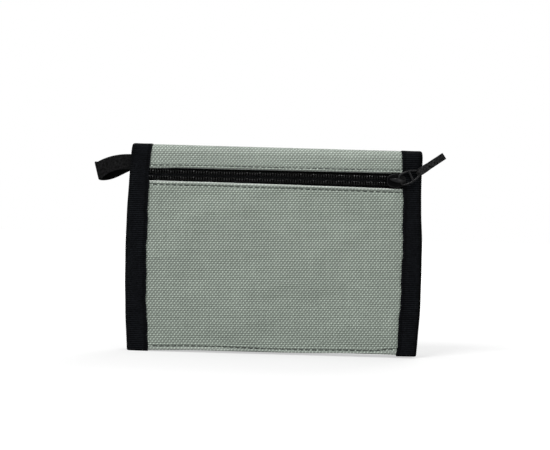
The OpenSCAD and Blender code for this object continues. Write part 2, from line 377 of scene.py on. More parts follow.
class Paint(Nodes):
    """A material with its main surface node."""

    def __init__(self, name, roughness, sheen=0.0, gloss=0.5):
        self.material = bpy.data.materials.new(name)
        self.material.use_nodes = True
        super().__init__(self.material.node_tree)
        self.surface = self.tree.nodes["Principled BSDF"]
        self.set("Roughness", roughness)
        self.set("Specular IOR Level", gloss)
        self.set("Sheen Weight", sheen)
        self.set("Sheen Roughness", 0.6)

    def set(self, socket, value):
        self.feed(self.surface.inputs[socket], value)

    def cloth_uv(self):
        """Lengths along the cloth, in metres."""
        return self.split(self.node("ShaderNodeUVMap", uv_map="cloth").outputs[0])[:2]

    def place(self, x, y):
        return self.filled("ShaderNodeCombineXYZ", (x, y, 0.0))

    def noise(self, at, scale, detail=2.0):
        node = self.node("ShaderNodeTexNoise")
        self.feed(node.inputs["Vector"], self.place(*at) if isinstance(at, tuple) else at)
        node.inputs["Scale"].default_value = scale
        node.inputs["Detail"].default_value = detail
        return node.outputs["Fac"]

    # Painted light and shade that each piece carries as a vertex attribute
    def painted_shading(self):
        return self.node("ShaderNodeAttribute", attribute_name="painted_shading").outputs["Fac"]

    def mix(self, factor, a, b):
        node = self.node("ShaderNodeMix", data_type="RGBA")
        for socket, value in (("Factor", factor), ("A", a), ("B", b)):
            self.feed(node.inputs[socket], value)
        return node.outputs["Result"]

    def tint(self, colour, value):
        """Colour multiplied by a value."""
        node = self.node("ShaderNodeVectorMath", operation="SCALE")
        self.feed(node.inputs[0], colour)
        self.feed(node.inputs["Scale"], value)
        self.set("Base Color", node.outputs[0])

    def bump(self, height, distance):
        node = self.node("ShaderNodeBump")
        node.inputs["Strength"].default_value = 1.0
        node.inputs["Distance"].default_value = distance
        self.feed(node.inputs["Height"], height)
        self.set("Normal", node.outputs[0])


def woven(name, light, mid, gap, warp, weft, bump, sheen=0.06, grain=0.0):
    """Plain weave: light yarns float across, darker ones dip between them, with dark gaps along the rows that
    are painted shade between the yarns.

    The yarns' twist favours one diagonal, and grain is the angle at which the cloth is cut off its grain.
    """
    light, mid, gap = (colour + (1,) for colour in (light, mid, gap))
    paint = Paint(name, 0.9, sheen, 0.15)
    flat_u, flat_v = paint.cloth_uv()
    c, q = math.cos(grain), math.sin(grain)
    u = paint.math("MULTIPLY_ADD", flat_v, q, paint.times(flat_u, c))
    v = paint.math("MULTIPLY_ADD", flat_u, -q, paint.times(flat_v, c))
    column = paint.plus(paint.over(u, warp), paint.scale(paint.noise((u, v), 90.0), -0.35, 0.35))
    row = paint.plus(paint.over(v, weft), paint.scale(paint.noise((v, u), 60.0), -0.25, 0.25))
    sides = []
    for count, power in ((column, 0.28), (row, 0.62)):
        wave = paint.math("SINE", paint.times(count, math.pi))
        sides.append(paint.math("POWER", paint.math("ABSOLUTE", wave), power))
    crown = paint.times(*sides)
    one_way = paint.math("COSINE", paint.times(paint.math("SUBTRACT", column, row), math.pi))
    other_way = paint.math("COSINE", paint.times(paint.plus(column, row), math.pi))
    cross = paint.math("MULTIPLY_ADD", one_way, 0.72, paint.times(other_way, -0.28))
    above = paint.math("SMOOTH_MIN", paint.math("MULTIPLY_ADD", cross, 1.6, 0.5), 1.0, 0.2)
    above = paint.math("MAXIMUM", above, 0.0)
    along_warp = paint.noise((paint.over(u, warp), paint.times(v, 80.0)), 1.0, 1.0)
    along_weft = paint.noise((paint.times(u, 80.0), paint.over(v, weft)), 1.0, 1.0)
    slub = paint.times(paint.plus(along_warp, along_weft), 0.5)
    blotch = paint.noise((u, v), 45.0, 3.0)
    fuzz = paint.noise((u, v), 5000.0)
    # Painted shade: the dark gap colour fills the cloth between the yarns.
    colour = paint.mix(crown, gap, paint.mix(above, mid, light))
    # Painted light: the colour turns paler where the piece's shading attribute is high, a painted highlight
    # along lips and folds.
    colour = paint.mix(paint.times(paint.painted_shading(), 0.45), colour, paint.mix(0.6, light, (1, 1, 1, 1)))
    shade = paint.times(paint.scale(slub, 1.0, 1.8), paint.scale(blotch, 0.9, 1.1))
    paint.tint(colour, paint.times(shade, paint.scale(fuzz, 0.8, 1.2)))
    height = paint.times(crown, paint.scale(above, 0.55, 1.0))
    paint.bump(paint.plus(height, paint.times(fuzz, 0.18)), bump)
    return paint.material


def ribbed(name, base, pitch, bump, contrast=1.0):
    """Woven tape with fine ribs and a soft fuzz: painted shade in the ribs' troughs, and more painted shade
    where the piece's shading attribute is high.
    """
    paint = Paint(name, 0.8, 0.004, 0.02)
    u, v = paint.cloth_uv()
    rib = paint.math("SINE", paint.times(v, 2 * math.pi / pitch))
    thread = paint.math("SINE", paint.times(u, 2 * math.pi / (0.33 * MM)))
    fuzz = paint.noise((u, v), 6000.0)
    rubbed = paint.noise((u, v), 160.0, 3.0)
    lint = paint.noise((u, v), 1100.0)
    height = paint.plus(paint.math("MULTIPLY_ADD", rib, 0.5, 0.5), paint.times(thread, 0.18))
    height = paint.plus(height, paint.times(fuzz, 0.3))
    # Painted shade: the colour follows the ribs' height, darker in their troughs; the rubbed noise is random
    # tone.
    shade = paint.times(paint.scale(height, 0.35, 1.7), paint.scale(rubbed, 0.5, 1.7))
    shade = paint.times(shade, paint.scale(lint, 1.1 - 1.5 * contrast, 1.1 + 1.5 * contrast))
    # Painted shade, down to 0.15 of the colour where the piece's shading attribute is full.
    shade = paint.times(shade, paint.scale(paint.painted_shading(), 1.0, 0.15))
    paint.tint(base, paint.math("MAXIMUM", shade, 0.05))
    paint.bump(height, bump)
    return paint.material


def plastic(name, base, roughness, grain=4000.0, gloss=0.5):
    """Smooth black moulding, paint or thread with faint handling marks."""
    paint = Paint(name, roughness, gloss=gloss)
    coords = paint.node("ShaderNodeTexCoord").outputs["Object"]
    marks = paint.noise(coords, grain, 3.0)
    paint.tint(base, paint.scale(paint.noise(coords, grain / 8, 4.0), 0.7, 1.5))
    paint.set("Roughness", paint.scale(marks, roughness - 0.1, roughness + 0.15))
    paint.bump(marks, 0.01 * MM)
    return paint.material


def pile(name, base, scale):
    """Touch fastener face: a dense field of small loops or hooks."""
    paint = Paint(name, 0.95, 0.08, 0.05)
    cells = paint.node("ShaderNodeTexVoronoi")
    paint.feed(cells.inputs["Vector"], paint.place(*paint.cloth_uv()))
    cells.inputs["Scale"].default_value = scale
    near = cells.outputs["Distance"]
    # Painted shade: darker between the loops, lighter on their tops.
    paint.tint(base, paint.scale(near, 1.8, 0.4))
    paint.bump(paint.math("SUBTRACT", 1.0, near), 0.25 * MM)
    return paint.material


def film(name):
    """Clear soft film: mostly see-through, with faint ripples and a gloss."""
    paint = Paint(name, 0.1, gloss=0.9)
    at = tuple(paint.cloth_uv())
    haze = paint.noise(at, 90.0, 3.0)
    paint.tint((0.75, 0.8, 0.83), paint.scale(haze, 0.8, 1.2))
    paint.set("Alpha", paint.scale(haze, 0.02, 0.16))
    paint.bump(paint.noise(at, 60.0), 0.2 * MM)
    return paint.material


CANVAS = woven("canvas_weave", (0.292, 0.334, 0.293), (0.152, 0.175, 0.152), (0.032, 0.038, 0.032),
               WARP, WEFT, 0.14 * MM, grain=math.radians(1.6))
PANEL = woven("panel_weave", (0.25, 0.28, 0.25), (0.16, 0.18, 0.16), (0.045, 0.052, 0.046),
              0.5 * MM, 0.6 * MM, 0.08 * MM)
LINING = woven("lining_nylon", (0.022, 0.023, 0.025), (0.014, 0.015, 0.017), (0.005, 0.0055, 0.006),
               0.3 * MM, 0.34 * MM, 0.04 * MM, sheen=0.02)
TAPE = ribbed("binding_ribbed_tape", (0.0025, 0.0028, 0.0034), RIB, 0.12 * MM, 0.7)
LOOP_TAPE = ribbed("loop_ribbed_tape", (0.0044, 0.0044, 0.0045), LOOP_RIB, 0.06 * MM, 1.3)
ZIP_TAPE = ribbed("zip_tape_weave", (0.0009, 0.0009, 0.001), 0.4 * MM, 0.05 * MM)
CORD = ribbed("pull_tape_weave", (0.0095, 0.0095, 0.0097), 0.5 * MM, 0.12 * MM, 2.0)
COIL = plastic("coil_nylon", (0.0016, 0.0017, 0.0016), 0.25, gloss=0.26)
# One black paint in two copies: a lighter one, painted highlight, for the slider's bridge and rim and the
# pull frame, and a darker one, painted shade, for the slider's wings and flanges.
BLACK_PAINT_LIT = plastic("black_paint_lit", (0.0042, 0.0042, 0.0048), 0.4, gloss=0.18)
BLACK_PAINT_SHADED = plastic("black_paint_shaded", (0.0006, 0.0006, 0.0008), 0.35, gloss=0.05)
# The grey-green thread is painted darker than the canvas it matches: painted shade of the furrow it lies in.
THREAD = plastic("thread_grey", (0.055, 0.062, 0.056), 0.8, 9000.0, 0.05)
THREAD_BLACK = plastic("thread_black", (0.004, 0.004, 0.0045), 0.6, 9000.0, 0.08)
THREAD_SOFT = plastic("thread_soft_black", (0.016, 0.016, 0.017), 0.6, 9000.0, 0.1)
LOOP_PILE = pile("loop_pile", (0.008, 0.008, 0.009), 2600.0)
HOOK_PILE = pile("hook_pile", (0.007, 0.007, 0.008), 1500.0)
FILM = film("clear_film")


def finish_piece(obj, material, body=None, fold=None, stands_for=()):
    """Gives a piece its material, hangs it on its body or, for a piece on a fold, bakes its place in, and
    hides what it stands for.
    """
    obj.data.materials.clear()
    obj.data.materials.append(material)
    if fold is None:
        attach(obj, body)
    else:
        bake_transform(obj)
    if stands_for:
        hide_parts(*stands_for)


# ---------------------------------------------------------------- the cloth's path over the fold


def fold_path(half, end_z, step):
    """The outer face's path from the middle of the spine, over the fold and down to end_z.

    Gives places, outward directions and lengths.
    """
    turn_y, turn_z = FACE_Y[half] - half * TURN_R, FOLD_Z - TURN_R
    flat = abs(turn_y - MIDDLE_Y)
    arc = TURN_R * math.pi / 2
    total = flat + arc + (turn_z - end_z)
    s = np.linspace(0, total, max(2, round(total / step)) + 1)
    angle = np.clip((s - flat) / TURN_R, 0, math.pi / 2)
    y = np.where(s < flat, MIDDLE_Y + half * s, turn_y + half * TURN_R * np.sin(angle))
    z = np.where(s < flat + arc, turn_z + TURN_R * np.cos(angle), turn_z - (s - flat - arc))
    return grid(0, y, z), grid(0, half * np.sin(angle), np.cos(angle)), s


PANEL_ROWS, PANEL_COLUMNS = 41, 61
PANEL_TOP = ZIP_Z - 2.8 * MM
PANEL_CAP = 1.0 * MM
ENLARGED = 10


def settled_panel(half):
    """Out-of-plane shape of a sewn-in canvas panel: cloth held at its edges and a little slack.

    The sheet is simulated much enlarged, where the solver works well. Gives a grid of offsets in metres.
    """
    t, u = np.linspace(0, 1, PANEL_ROWS)[:, None], np.linspace(0, 1, PANEL_COLUMNS)
    crown = np.sin(math.pi * t) * np.sin(math.pi * u)
    ripple = np.sin(u * 9 + half) * np.sin(t * 7 + 0.6) * crown
    start = 0.3 * MM * crown + 0.12 * MM * ripple
    x = np.linspace(TAPE_X[-1], TAPE_X[1], PANEL_COLUMNS)
    z = np.linspace(HEM_Z, PANEL_TOP, PANEL_ROWS)[:, None]
    points = grid(x, start, z).reshape(-1, 3) * ENLARGED
    index = np.arange(len(points)).reshape(PANEL_ROWS, PANEL_COLUMNS)
    mesh = bpy.data.meshes.new("slack_panel")
    mesh.from_pydata(points.tolist(), [], quads(index)[:, [0, 3, 2, 1]].tolist())
    panel = new_object("slack_panel", mesh)
    held = panel.vertex_groups.new(name="held")
    held.add(np.setdiff1d(index, index[1:-1, 1:-1]).tolist(), 1.0, "REPLACE")
    cloth = panel.modifiers.new("slack", "CLOTH")
    settings = dict(
        quality=6, mass=0.3, tension_stiffness=12, compression_stiffness=12, bending_stiffness=2.0,
        air_damping=3, shrink_min=-0.006, vertex_group_mass="held", use_pressure=True,
        uniform_pressure_force=0.12,
    )
    for key, value in settings.items():
        setattr(cloth.settings, key, value)
    cloth.settings.effector_weights.gravity = 0
    cloth.point_cache.frame_start = 1
    cloth.point_cache.frame_end = 24
    for frame_number in range(1, 25):
        bpy.context.scene.frame_set(frame_number)
    settled = panel.evaluated_get(bpy.context.evaluated_depsgraph_get()).to_mesh()
    found = np.empty(len(points) * 3)
    settled.vertices.foreach_get("co", found)
    offset = found.reshape(PANEL_ROWS, PANEL_COLUMNS, 3)[:, :, 1] / ENLARGED
    bpy.data.objects.remove(panel)
    bpy.context.scene.frame_set(1)
    offset = np.abs(offset) if offset.mean() < 0 else offset
    return np.clip(offset * min(1.0, PANEL_CAP / max(offset.max(), 1e-9)), -0.2 * MM, PANEL_CAP)


SLACK = {half: settled_panel(half) for half in (-1, 1)}


def swell(half, x, z):
    """How far the cloth stands out from its flat face: slack in the middle, drawn in beside the bindings."""
    left, right = TAPE_X[-1], TAPE_X[1]
    column = np.clip((x - left) / (right - left), 0, 1) * (PANEL_COLUMNS - 1)
    row = np.clip((z - HEM_Z) / (PANEL_TOP - HEM_Z), 0, 1) * (PANEL_ROWS - 1)
    j = np.clip(np.floor(column).astype(int), 0, PANEL_COLUMNS - 2)
    i = np.clip(np.floor(row).astype(int), 0, PANEL_ROWS - 2)
    s, t = smooth(row - i), smooth(column - j)
    lower, upper = (between(SLACK[half][k, j], SLACK[half][k, j + 1], t) for k in (i, i + 1))
    inside = np.minimum(x - left, right - x)
    near_tape = 1 - smooth(inside / (4 * MM))
    under_tape = smooth(-inside / (5 * MM))
    return between(lower, upper, s) - 0.4 * MM * near_tape - 0.7 * MM * under_tape


def folded_swell(half, x, z, share=1.0):
    """The swell below the fold, and how the cloth stands a little proud over it between the bindings."""
    clear = smooth((x - TAPE_X[-1]) / (3 * MM)) * smooth((TAPE_X[1] - x) / (3 * MM))
    proud = 0.3 * MM * clear * smooth((z - FOLD_Z + 5 * MM) / (5 * MM))
    return share * swell(half, x, z) * smooth((FOLD_Z - z) / (6 * MM)) + proud


def cloth_columns(z, count, tuck=1.4 * MM):
    """x of each column of a sheet at heights z: its sides lie tucked inside the bindings."""
    z = z if z.ndim == 2 else z[:, None]
    return between(side_edge(-1, z) + tuck, side_edge(1, z) - tuck, np.linspace(0, 1, count))


def hem_line(x):
    """z of the folded hem: it rises a little from the left corner to the right one."""
    left = smooth((x + 52 * MM) / (22 * MM))
    right = smooth((x - 5 * MM) / (30 * MM)) * smooth((TAPE_X[1] + 8 * MM - x) / (16 * MM))
    return HEM_Z + (0.45 * left - 0.3 + 0.45 * right) * MM


def above_hem(x, z):
    """z of a sheet's points after its lower part follows the hem's line."""
    return z + (hem_line(x) - HEM_Z) * smooth((-24 * MM - z) / (18 * MM))


# ---------------------------------------------------------------- outer canvas


def lip_line(way, x):
    """Distance of a lip from the zip's centre line: the opening widens towards the slider.

    way is 1 for the upper lip, which also rises quickly beside the left binding, and -1 for the lower.
    """
    t = np.clip((x - TAPE_X[-1]) / (TAPE_X[1] - TAPE_X[-1]), 0, 1)
    if way > 0:
        return (2.58 + 0.35 * smooth(t / 0.12) + 0.32 * t ** 1.6) * MM
    return (2.58 + 0.67 * t ** 1.6) * MM


def under_slider(z, lift):
    """Lift of a lip, pressed back to the canvas plane where the slider's wing passes over it."""
    free = smooth((np.abs(z - ZIP_Z) - 3.25 * MM) / (0.5 * MM))
    return between(np.minimum(lift, -0.05 * MM), lift, free)


def lip_roll(d):
    """How far a folded lip stands proud of its canvas at distance d from its edge."""
    return 0.42 * MM * bell(d, 1.1 * MM)


def fat_lip(d):
    """Extra half thickness of a folded lip at distance d from its edge."""
    return 0.3 * MM * bell(d, 1.2 * MM)


def hem_row(x):
    """Height of the front hem's stitches above its edge: the row drifts down to the right, then turns up."""
    drift = smooth((20 * MM - x) / (60 * MM))
    return (1.35 + 0.5 * drift + 1.2 * smooth((x - 42 * MM) / (11 * MM))) * MM


def seam_path(outer, distance, at):
    """Points of a sheet, one on each column, where distance equals at."""
    path = []
    for j in range(outer.shape[1]):
        order = np.argsort(distance[:, j])
        path.append([np.interp(at, distance[order, j], outer[order, j, c]) for c in range(3)])
    return np.array(path)


def seam_row(name, half, outer, distance, at, length=2.15 * MM, r=0.21 * MM):
    """Stitches along the line where distance equals at, between the bindings."""
    path = seam_path(outer, distance, at)
    x, z = path[:, 0], path[:, 2]
    shown = path[(x > tape_edge(-1, z)) & (x < tape_edge(1, z))]
    thread = stitches(name, shown, OUTWARD[half], length=length, r=r)
    finish_piece(thread, THREAD, body=HALF_BODY[half])


def build_zip_panel():
    """Canvas below the zip: a rolled lip on top, a folded hem at the open edge."""
    columns, rows = 150, 260
    x = cloth_columns(np.array([HEM_Z]), columns)
    z = between(hem_line(x), ZIP_Z - lip_line(-1, x), crowded(rows, 0.75)[:, None])
    x = cloth_columns(z, columns)
    to_lip = (ZIP_Z - lip_line(-1, x)) - z
    to_hem = z - hem_line(x)
    to_row = to_hem - hem_row(x)
    hem = smooth((1.1 * MM - to_row) / (0.6 * MM)) * 0.22 * MM
    lift = swell(-1, x, z) + lip_roll(to_lip) + hem
    lift = lift - seam_groove(to_lip, LIP_STITCH[-1]) - seam_groove(to_row, 0)
    half_t = CANVAS_T / 2 + fat_lip(to_lip)
    middle = grid(x, FRONT_Y - under_slider(z, lift) + half_t, z)
    half_t = half_t * rolled_edge(to_lip, LIP_R) * rolled_edge(to_hem, 0.5 * MM)
    # Painted highlight along the rolled lip; the strip below the hem's stitches is painted lighter too.
    painted_light_and_shade = 0.55 * bell(to_lip, 0.6 * MM) + 0.16 * smooth((-0.2 * MM - to_row) / (0.7 * MM))
    cloth, outer = sheet("front_canvas", middle, OUTWARD[-1], half_t, grid(x, z), painted_light_and_shade)
    finish_piece(cloth, CANVAS, body="zip_half", stands_for=["zip_panel"])
    seam_row("lip_stitch_lower", -1, outer, to_lip, LIP_STITCH[-1])
    seam_row("hem_stitch_front", -1, outer, to_row, 0, 2.45 * MM, 0.19 * MM)


def build_top_strip():
    """Canvas from the middle of the spine over the front fold down to the upper lip."""
    least_gap = 2.4 * MM
    place, out, s = fold_path(-1, ZIP_Z + least_gap, 0.3 * MM)
    x = cloth_columns(place[:, 2], 150)
    near_lip = smooth((s[:, None] - s[-1] + 6 * MM) / (6 * MM))
    z = place[:, 2:] + (lip_line(1, x) - least_gap) * near_lip
    to_lip = z - (ZIP_Z + lip_line(1, x))
    lift = folded_swell(-1, x, z) + lip_roll(to_lip) - seam_groove(to_lip, LIP_STITCH[1])
    fat = fat_lip(to_lip)
    n = out[:, None, :]
    middle = grid(x, place[:, 1:2], z) + n * (under_slider(z, lift) - CANVAS_T / 2 - fat)[:, :, None]
    half_t = (CANVAS_T / 2 + fat) * rolled_edge(to_lip, LIP_R)
    # Painted light: the strip a little lighter all over, with painted highlight along the lip and towards the
    # fold's top.
    painted_light_and_shade = 0.04 + 0.25 * bell(to_lip, 0.5 * MM) + 0.05 * smooth((z - FOLD_Z + 8 * MM) / (8 * MM))
    cloth, outer = sheet("front_strip_canvas", middle, n, half_t, grid(x, -s[:, None]), painted_light_and_shade)
    finish_piece(cloth, CANVAS, fold=FOLDS[-1], stands_for=["top_strip", "spine_cover"])
    low = z[:, 0] < FOLD_Z - TURN_R - 2 * MM
    seam_row("lip_stitch_upper", -1, outer[low], to_lip[low], LIP_STITCH[1], 2.5 * MM, 0.17 * MM)


def build_rear_canvas():
    """Rear cover canvas, from the middle of the spine over the rear fold down to its hem."""
    place, out, s = fold_path(1, HEM_Z, 0.45 * MM)
    x = cloth_columns(place[:, 2], 120)
    z = above_hem(x, place[:, 2:])
    to_hem = z - hem_line(x)
    hem = smooth((3.2 * MM - to_hem) / (0.6 * MM)) * 0.22 * MM
    lift = folded_swell(1, x, z, 0.6) + hem - seam_groove(to_hem, REAR_HEM_STITCH)
    n = out[:, None, :]
    middle = grid(x, place[:, 1:2], z) + n * (lift - CANVAS_T / 2)[:, :, None]
    half_t = CANVAS_T / 2 * rolled_edge(to_hem, 0.5 * MM)
    # Painted highlight towards the fold's top and along the hem's rolled edge.
    painted_light_and_shade = 0.2 * smooth((z - FOLD_Z + 8 * MM) / (8 * MM)) + 0.15 * bell(to_hem, 0.7 * MM)
    cloth, outer = sheet("rear_canvas", middle, n, half_t, grid(x, s[:, None]), painted_light_and_shade)
    finish_piece(cloth, CANVAS, fold=FOLDS[1], stands_for=["cover_panel"])
    seam_row("hem_stitch_rear", 1, outer, to_hem, REAR_HEM_STITCH)


# ---------------------------------------------------------------- edge bindings


def stack_depth(z):
    """Thickness of a half at its side, from canvas face to inner face: thin near the fold."""
    return STACK_T - (STACK_T - SPINE_T) * smooth((z - 34 * MM) / (6.5 * MM))


def binding_section(side, z, columns=44):
    """Places across the folded tape at heights z, as x and depth below the canvas face.

    They run from the tape's edge on the outer face round the wallet's side to its edge inside.
    """
    full = stack_depth(z)
    share = (full - SPINE_T) / (STACK_T - SPINE_T)
    near, far = 0.45 * MM * share, full - 1.3 * MM * share
    round_r = np.minimum(2.2 * MM, (far - near) / 2 + 0.2 * MM)
    start, turn_x = tape_edge(side, z), side_edge(side, z) - side * round_r
    flange = columns // 3
    t = np.linspace(0, 1, flange)
    a = np.linspace(0, math.pi, columns - 2 * flange + 2)[1:-1]
    square = 0.55 + 0.45 * share
    bend_x = turn_x + side * round_r * np.sin(a) ** square
    bend_d = (near + far) / 2 - (far - near) / 2 * blunt(np.cos(a), square)
    x = np.concatenate([between(start, turn_x, t), bend_x, between(turn_x, start, t)], 1)
    return x, np.concatenate([between(-0.05 * MM, near, t), bend_d, between(far, full, t)], 1)


def build_binding(side, half):
    """Ribbed tape folded over a side edge, from the middle of the spine down to the open edge."""
    where = "left" if side < 0 else "right"
    face = "rear" if half > 0 else "front"
    place, out, s = fold_path(half, OPEN_Z + END_RISE[side], RIB / 4)
    z = place[:, 2:]
    x, depth = binding_section(side, z)
    points = grid(x, place[:, 1:2], z) - out[:, None, :] * [0, 1, 1] * depth[:, :, None]
    n = grid_normals(points) * side * half
    rib = 0.045 * MM * np.cos(2 * math.pi * s / RIB)
    sag = 0.036 * MM * np.sin(s / MM * 0.4 + side + half)
    across = np.linspace(0, 1, x.shape[1])
    belly = np.sin(math.pi * np.clip(across * 3, 0, 1)) * 0.07 * MM
    outer = points + n * ((rib + sag)[:, None] + belly)[:, :, None]
    tape_t, tape_w = 0.5 * MM, 22 * MM
    edge_round = rolled_edge(np.minimum(across, 1 - across) * tape_w, 0.3 * MM)
    half_t = tape_t / 2 * rolled_edge(s[-1] - s, 0.6 * MM)[:, None] * (0.45 + 0.55 * edge_round)
    to_side = side * (side_edge(side, z) - x)
    to_inner = side * (x - tape_edge(side, z))
    # Painted shade round the tape's turn, deeper on the right side, away from the light; painted shade in the
    # stitches' furrow near the inner edge, and a darker cut end.
    turned = 1 - smooth((to_side - 0.3 * MM) / (1.5 * MM))
    sewn = 0.6 * bell(to_inner - 1.1 * MM, 0.5 * MM)
    cut = 0.8 * (1 - smooth((s[-1] - s) / (0.9 * MM)))[:, None]
    painted_light_and_shade = np.clip(turned * (0.35 if side < 0 else 0.9) + sewn + cut, 0, 1)
    uv = grid(run_length(points[0]), s[:, None])
    tape, _ = sheet(f"binding_{where}_{face}", outer - n * tape_t / 2, n, half_t, uv, painted_light_and_shade)
    nodes = [f"cover_binding_{where}"] if half > 0 else [f"zip_binding_{where}", f"spine_binding_{where}"]
    finish_piece(tape, TAPE, fold=FOLDS[half], stands_for=nodes)
    for column, part in ((2, "outer"), (-3, "inner")):
        thread = stitches(f"binding_stitch_{where}_{face}_{part}", outer[4:-6, column], n[4:-6, column],
                          pitch=2.6 * MM, r=0.14 * MM, lift=0.06 * MM)
        finish_piece(thread, THREAD_BLACK, fold=FOLDS[half])


# ---------------------------------------------------------------- zip


def build_coil(name, way, node):
    """One row of nylon coil: a flattened helix whose turns stand side by side, with its core and thread."""
    low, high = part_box(node)
    centre = (low + high) / 2
    pitch, wire = 1.08 * MM, 0.3 * MM
    reach_z, reach_y = (high.z - low.z) / 2 - wire, (high.y - low.y) / 2 - wire
    turns = int((high.x - low.x) / pitch)
    a = np.linspace(0, 2 * math.pi * turns, turns * 18 + 1)
    along = low.x + 0.3 * MM + a / (2 * math.pi) * pitch + 0.16 * MM * np.sin(2 * a)
    path = grid(along, centre.y - reach_y * np.sin(a), centre.z + way * reach_z * blunt(np.cos(a), 0.75))
    coil = tube(name, path, wire, 7)
    finish_piece(coil, COIL, body="zip_half", stands_for=[node])
    x = np.linspace(low.x + 0.5 * MM, high.x - 0.5 * MM, 160)
    z = centre.z + np.linspace(-0.62, 0.62, 5)[:, None] * MM
    # The core is the filler cord inside the coil; its very dark tape also stands in for the shade between the
    # turns, painted shade.
    core, _ = sheet(f"{name}_core", grid(x, centre.y, z), OUTWARD[-1], 0.09 * MM, grid(z, x))
    finish_piece(core, ZIP_TAPE, body="zip_half")
    path = grid(x, high.y - 0.05 * MM, centre.z + way * (high.z - low.z) * 0.5)
    thread = stitches(f"{name}_thread", path, OUTWARD[-1], 2 * pitch, 1.8 * pitch, 0.15 * MM, 0.12 * MM)
    finish_piece(thread, THREAD_BLACK, body="zip_half")


def build_zip_tape(name, node):
    """Flat woven tape behind a lip, with a soft edge."""
    low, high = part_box(node)
    x = np.linspace(low.x + 1.6 * MM, high.x - 1.6 * MM, 120)
    z = np.linspace(low.z, high.z, 24)[:, None]
    edge = rolled_edge(np.minimum(z - low.z, high.z - z), 0.4 * MM)
    half_t = (high.y - low.y) / 2 * (0.4 + 0.6 * edge)
    tape, _ = sheet(name, grid(x, (low.y + high.y) / 2, z), OUTWARD[-1], half_t, grid(z, x))
    finish_piece(tape, ZIP_TAPE, body="zip_half", stands_for=[node])


# ---------------------------------------------------------------- slider and pull


def bevelled_plate(outline, y0, y1, bevel):
    """Plate of a given x, z outline between two y, with rounded rims."""
    work = bmesh.new()
    face = work.faces.new([work.verts.new((p[0], y0, p[1])) for p in outline])
    grown = bmesh.ops.extrude_face_region(work, geom=[face])
    for v in [g for g in grown["geom"] if isinstance(g, bmesh.types.BMVert)]:
        v.co.y = y1
    bmesh.ops.recalc_face_normals(work, faces=work.faces)
    rims = [e for e in work.edges if abs(e.verts[0].co.y - e.verts[1].co.y) < 1e-7]
    bmesh.ops.bevel(work, geom=rims, offset=bevel, segments=3, affect="EDGES", profile=0.5)
    mesh = bpy.data.meshes.new("plate")
    work.to_mesh(mesh)
    work.free()
    soften(mesh, 35)
    return new_object("plate", mesh)


def wing_outline(low, high, mouth, tail, steps=64):
    """Plan of a slider wing: a broad round mouth on the left, squarer and narrower at the tail."""
    c, q = circle(steps)
    ux = blunt(c, 0.92 - 0.34 * smooth((c + 0.4) / 0.8))
    half = mouth + (tail - mouth) * smooth((ux + 0.1) / 1.1)
    return grid((low.x + high.x) / 2 + ux * (high.x - low.x) / 2, ZIP_Z + blunt(q, 0.72) * half)


def rectangle(x0, x1, z0, z1):
    return [(x0, z0), (x1, z0), (x1, z1), (x0, z1)]


def build_slider():
    """Painted slider: front and back wings, side flanges, divider, a raised bridge and a rim."""
    low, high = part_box("slider")
    coil_low, coil_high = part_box("upper_coil")
    half_w = (high.z - low.z) / 2
    front, back = coil_low.y - 0.15 * MM, coil_high.y + 0.15 * MM
    wing_y = front - 0.9 * MM
    parts = [
        bevelled_plate(wing_outline(low, high, half_w, half_w * 0.84), wing_y, front, 0.3 * MM),
        bevelled_plate(wing_outline(low, high, half_w * 0.9, half_w * 0.8), back, back + 0.8 * MM, 0.25 * MM),
    ]
    for way in (-1, 1):
        rail = rectangle(low.x + 1.3 * MM, high.x - 1.2 * MM,
                         ZIP_Z + way * half_w * 0.745, ZIP_Z + way * half_w * 0.81)
        parts.append(bevelled_plate(rail, front - 0.1 * MM, front + 0.6 * MM, 0.08 * MM))
        parts.append(bevelled_plate(rail, back - 0.2 * MM, back + 0.1 * MM, 0.05 * MM))
    post = rectangle(low.x + 0.1 * MM, low.x + 1.5 * MM, ZIP_Z - 0.15 * MM, ZIP_Z + 0.15 * MM)
    parts.append(bevelled_plate(post, front - 0.1 * MM, back + 0.1 * MM, 0.04 * MM))
    slider = join("slider_body", parts)
    # The wings and flanges take the darker copy of the black paint, painted shade.
    finish_piece(slider, BLACK_PAINT_SHADED, body="slider", stands_for=["slider"])
    centre = np.array([(low.x + high.x) / 2, ZIP_Z])
    # A thin rim round the front wing in the lighter copy of the paint: a painted highlight along the wing's
    # edge; the bridge takes that copy too.
    edge = (wing_outline(low, high, half_w, half_w * 0.84, 96) - centre) * [0.93, 0.87] + centre
    rim = tube("wing_rim", grid(edge[:, 0], wing_y, edge[:, 1]), 0.13 * MM, closed=True)
    bridge = join("slider_bridge", [build_bridge(low, wing_y), rim])
    finish_piece(bridge, BLACK_PAINT_LIT, body="slider")


def build_bridge(low, foot_y):
    """Arched leaf-shaped bar over the front wing: narrow at its feet, broad in the middle, slightly askew."""
    thick, sides = 0.58 * MM, 14
    t = np.linspace(0, 1, 44)
    arch = np.maximum(np.sin(math.pi * t), 0)
    half_w = (0.45 + 0.5 * arch ** 1.3) * MM
    y = foot_y - arch ** 0.5 * (foot_y - low.y)
    spine = grid(low.x + between(1.3 * MM, 8.2 * MM, t), y, ZIP_Z + (0.5 - 0.8 * t) * MM)
    across = np.array([0, 0, 1.0])
    n = unit(np.cross(np.gradient(spine, axis=0), across))
    n = n * -np.sign(n[:, 1:2])
    wide, tall = (blunt(wave, 0.7) for wave in circle(sides))
    rings = (spine - n * thick / 2)[:, None] + n[:, None] * (tall * thick / 2)[:, None]
    rings = rings + across * (half_w[:, None] * wide)[:, :, None]
    return mesh_from("slider_bridge", rings.reshape(-1, 3), hose_faces(len(t), sides), sharp=60)


def joint_place(name):
    return np.array(next(j["pos_m"] for j in frame["joints"] if j["name"] == name))


def ring_half(share):
    """Half width of the pull frame along its length."""
    return (2.45 - 0.95 * smooth((share - 0.5) / 0.5)) * MM


